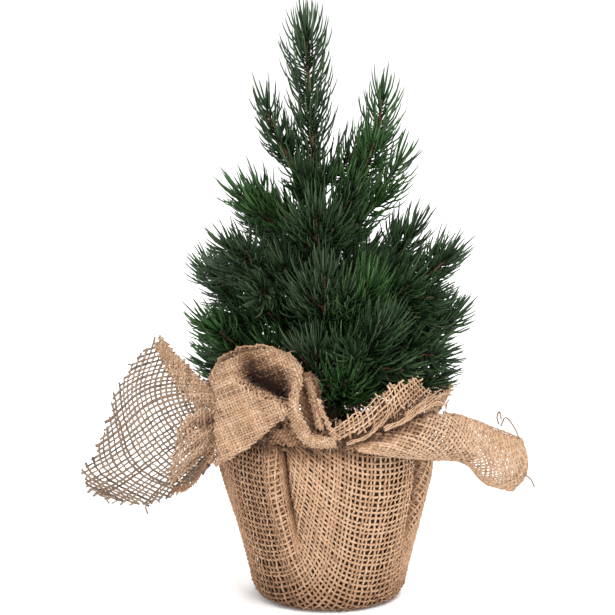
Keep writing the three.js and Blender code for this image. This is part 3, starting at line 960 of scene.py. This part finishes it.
def add_tail_right(cloth):
    rows = [
        [(10, -56, 90), (32, -48, 98), (55, -29, 99), (70, -18, 93), (83, -14, 87), (95, -9, 81)],
        [(12, -57, 88), (34, -52, 92), (57, -32, 91), (72, -22, 84), (87, -18, 76), (97, -11, 72)],
        [(15, -56, 87), (35, -50, 85), (55, -30, 81), (71, -21, 76), (85, -17, 65), (96.5, -11, 62)],
        [(18, -54, 86), (36, -45, 81), (50, -26, 75), (66, -17, 71), (77, -13, 59.5), (90, -9, 54.5)],
    ]
    surface, low, high = spline_sheet(rows)

    def bellied(u, v):
        ripple = 1.2 * np.sin(v * 0.33 + u * 0.05) * smooth(10, 60, u)
        return surface(u, v) + ripple[..., None] * np.array([0.2, -1.0, 0.2])

    def behind(u, v):
        return bellied(u, v) + np.array([0.1, 1.7, 0.0])

    def double(u, v):
        return (u < 56 + 0.3 * v) | (u > 93 - 0.15 * v)

    # Painted shade under the twists, along the tail's top edge at its left end.
    def hollow(u, v):
        return -1.1 * smooth(10, 3, v) * smooth(36, 18, u)

    cloth.weave(bellied, everywhere, low, high, bias=33, pitch=1.9, width=1.05, fray=0.2, tone=0.18,
                grey=0.1, shade=hollow)
    cloth.weave(behind, double, low, high, bias=10, pitch=1.5, width=1.2, tone=0.15, grey=0.1, shade=hollow)
    top_start, top_end = (46, low[1]), (high[0], low[1])
    cloth.border(bellied, top_start, top_end, inward=(0, 0.8))
    cloth.border(bellied, (0, high[1]), high, inward=(0, -0.8))
    cloth.border(bellied, top_end, high, inward=(-0.8, 0))
    cloth.loose((83, -15, 90), (82, -16, 94), (83, -17, 97), (84, -18, 93))
    cloth.loose((84, -15, 89), (86, -17, 94), (91, -18, 88), (93, -16, 83))
    cloth.loose((96, -12, 64), (99, -14, 62), (101, -14, 58))


def at(azimuth, radius, height):
    turn = math.radians(azimuth)
    return (radius * math.cos(turn), radius * math.sin(turn), height)


def add_flap_back(cloth):
    """The sides and back of the loose top. Each line gives the radius and height at the azimuths."""
    azimuths = [-36, 0, 30, 58, 82, 106, 134, 168, 210]
    low = [(51, 89), (51, 89), (51, 89), (51, 90), (51, 91), (51, 90), (51, 89), (51, 89), (51, 89)]
    mid = [(56, 98), (57, 98), (58, 98), (62, 100), (68, 101), (62, 100), (58, 98), (57, 99), (56, 99)]
    top = [(58, 106), (60, 105), (61, 106), (74, 99), (86, 93), (76, 98), (62, 105), (60, 108), (58, 108)]
    rows = [[at(a, *p) for a, p in zip(azimuths, line)] for line in (low, mid, top)]
    cloth.patch(rows, bias=20, width=1.1, fray=2.4)


# The lowest stop, nearly black brown, is where the painted shade in hollows and creases ends up.
HESSIAN_STOPS = [(0.0, (0.050, 0.018, 0.008)), (0.34, (0.31, 0.165, 0.088)), (0.62, (0.52, 0.325, 0.195)),
                 (0.88, (0.64, 0.46, 0.32))]
FIBRE_COUNT = 1700


def add_hessian():
    finish = hessian_material("hessian_tan", HESSIAN_STOPS)
    cloth = Cloth()
    add_wrap(cloth)
    add_wrap_folds(cloth)
    add_tail_left(cloth)
    add_roll_front(cloth)
    add_lip_front(cloth)
    add_flap_right(cloth)
    add_tail_right(cloth)
    add_flap_back(cloth)
    sheet = cloth.threads.piece("hessian_square", finish)
    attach(sheet, "base")
    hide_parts("burlap_skirt", "burlap_tail_left", "burlap_roll_front", "burlap_lip_front",
                "burlap_flap_right", "burlap_tail_right", "burlap_flap_back")
    fuzz = add_fuzz(cloth, finish)


def add_fuzz(cloth, finish):
    """Fine fibres that stand off the yarn."""
    hairs = Strands()
    picks = rng.integers(0, len(cloth.anchors), FIBRE_COUNT)
    for pick in picks:
        path, facing = cloth.anchors[pick]
        i = rng.integers(0, len(path))
        out = unit(facing[i] * rng.choice((-1, 1)) + rng.normal(0, 0.9, 3))
        bend = unit(rng.normal(0, 1, 3))
        size = rng.uniform(2.0, 4.5)
        t = np.linspace(0, 1, 4)[:, None]
        line = path[i] + out * size * t + bend * size * 0.45 * t**2
        line[:, 2] = np.maximum(line[:, 2], 0.3)           # none goes under the pot
        hairs.add(line[None], np.array([[[0.3, 0.2, 0.9]]]), 0.07, 0.07, [rng.uniform(0.4, 1.0)], corners=3)
    fuzz = hairs.piece("hessian_fuzz", finish)
    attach(fuzz, "base")
    return fuzz


# ---------------------------------------------------------------- pieces kept from the plain model


def dress(node, material):
    holder = frame["nodes"][node]
    holder.data.materials.clear()
    holder.data.materials.append(material)


def dress_frame(bark):
    pot = [(0.3, (0.040, 0.022, 0.012)), (0.7, (0.075, 0.043, 0.024))]
    cement = [(0.3, (0.10, 0.080, 0.062)), (0.7, (0.22, 0.185, 0.150))]
    brown_paper = [(0.3, (0.045, 0.022, 0.012)), (0.75, (0.13, 0.065, 0.034))]
    dress("pot", grained_material("pot_brown", (420, 3), pot, 0.7, 0.0001, specular=0.12))
    dress("cement_fill", grained_material("cement_grey", (500, 6), cement, 0.95, 0.0008))
    dress("trunk", bark)
    tape = grained_material("tape_brown", (700, 3, (1, 1, 2.5)), brown_paper, 0.8, 0.0006)
    for node in frame["nodes"]:
        if node.startswith("trunk_tape"):
            dress(node, tape)
    dress("gather_tie", hessian_material("jute_tie", [(0.2, (0.14, 0.08, 0.04)), (0.8, (0.46, 0.30, 0.16))]))


add_camera()
add_studio()
bark = bark_material("bark_brown", (0.035, 0.018, 0.010), (0.13, 0.065, 0.034), 300)
twig = bark_material("twig_brown", (0.040, 0.018, 0.010), (0.16, 0.075, 0.038), 600)
deep_green = needle_material(
    "needles_deep", (0.005, 0.012, 0.005), (0.018, 0.045, 0.015), (0.072, 0.135, 0.050))
fresh_green = needle_material(
    "needles_fresh", (0.006, 0.016, 0.005), (0.021, 0.066, 0.015), (0.088, 0.180, 0.048))
grey_green = needle_material(
    "needles_grey", (0.007, 0.014, 0.007), (0.024, 0.048, 0.020), (0.095, 0.140, 0.066))
for body in frame["bodies"]:
    if body in FRESH_BRANCHES:
        add_branch(body, fresh_green, twig)
    elif body in GREY_BRANCHES:
        add_branch(body, grey_green, twig)
    elif body != "base":
        add_branch(body, deep_green, twig)
add_trunk_sprigs(deep_green, twig)
add_hessian()
dress_frame(bark)
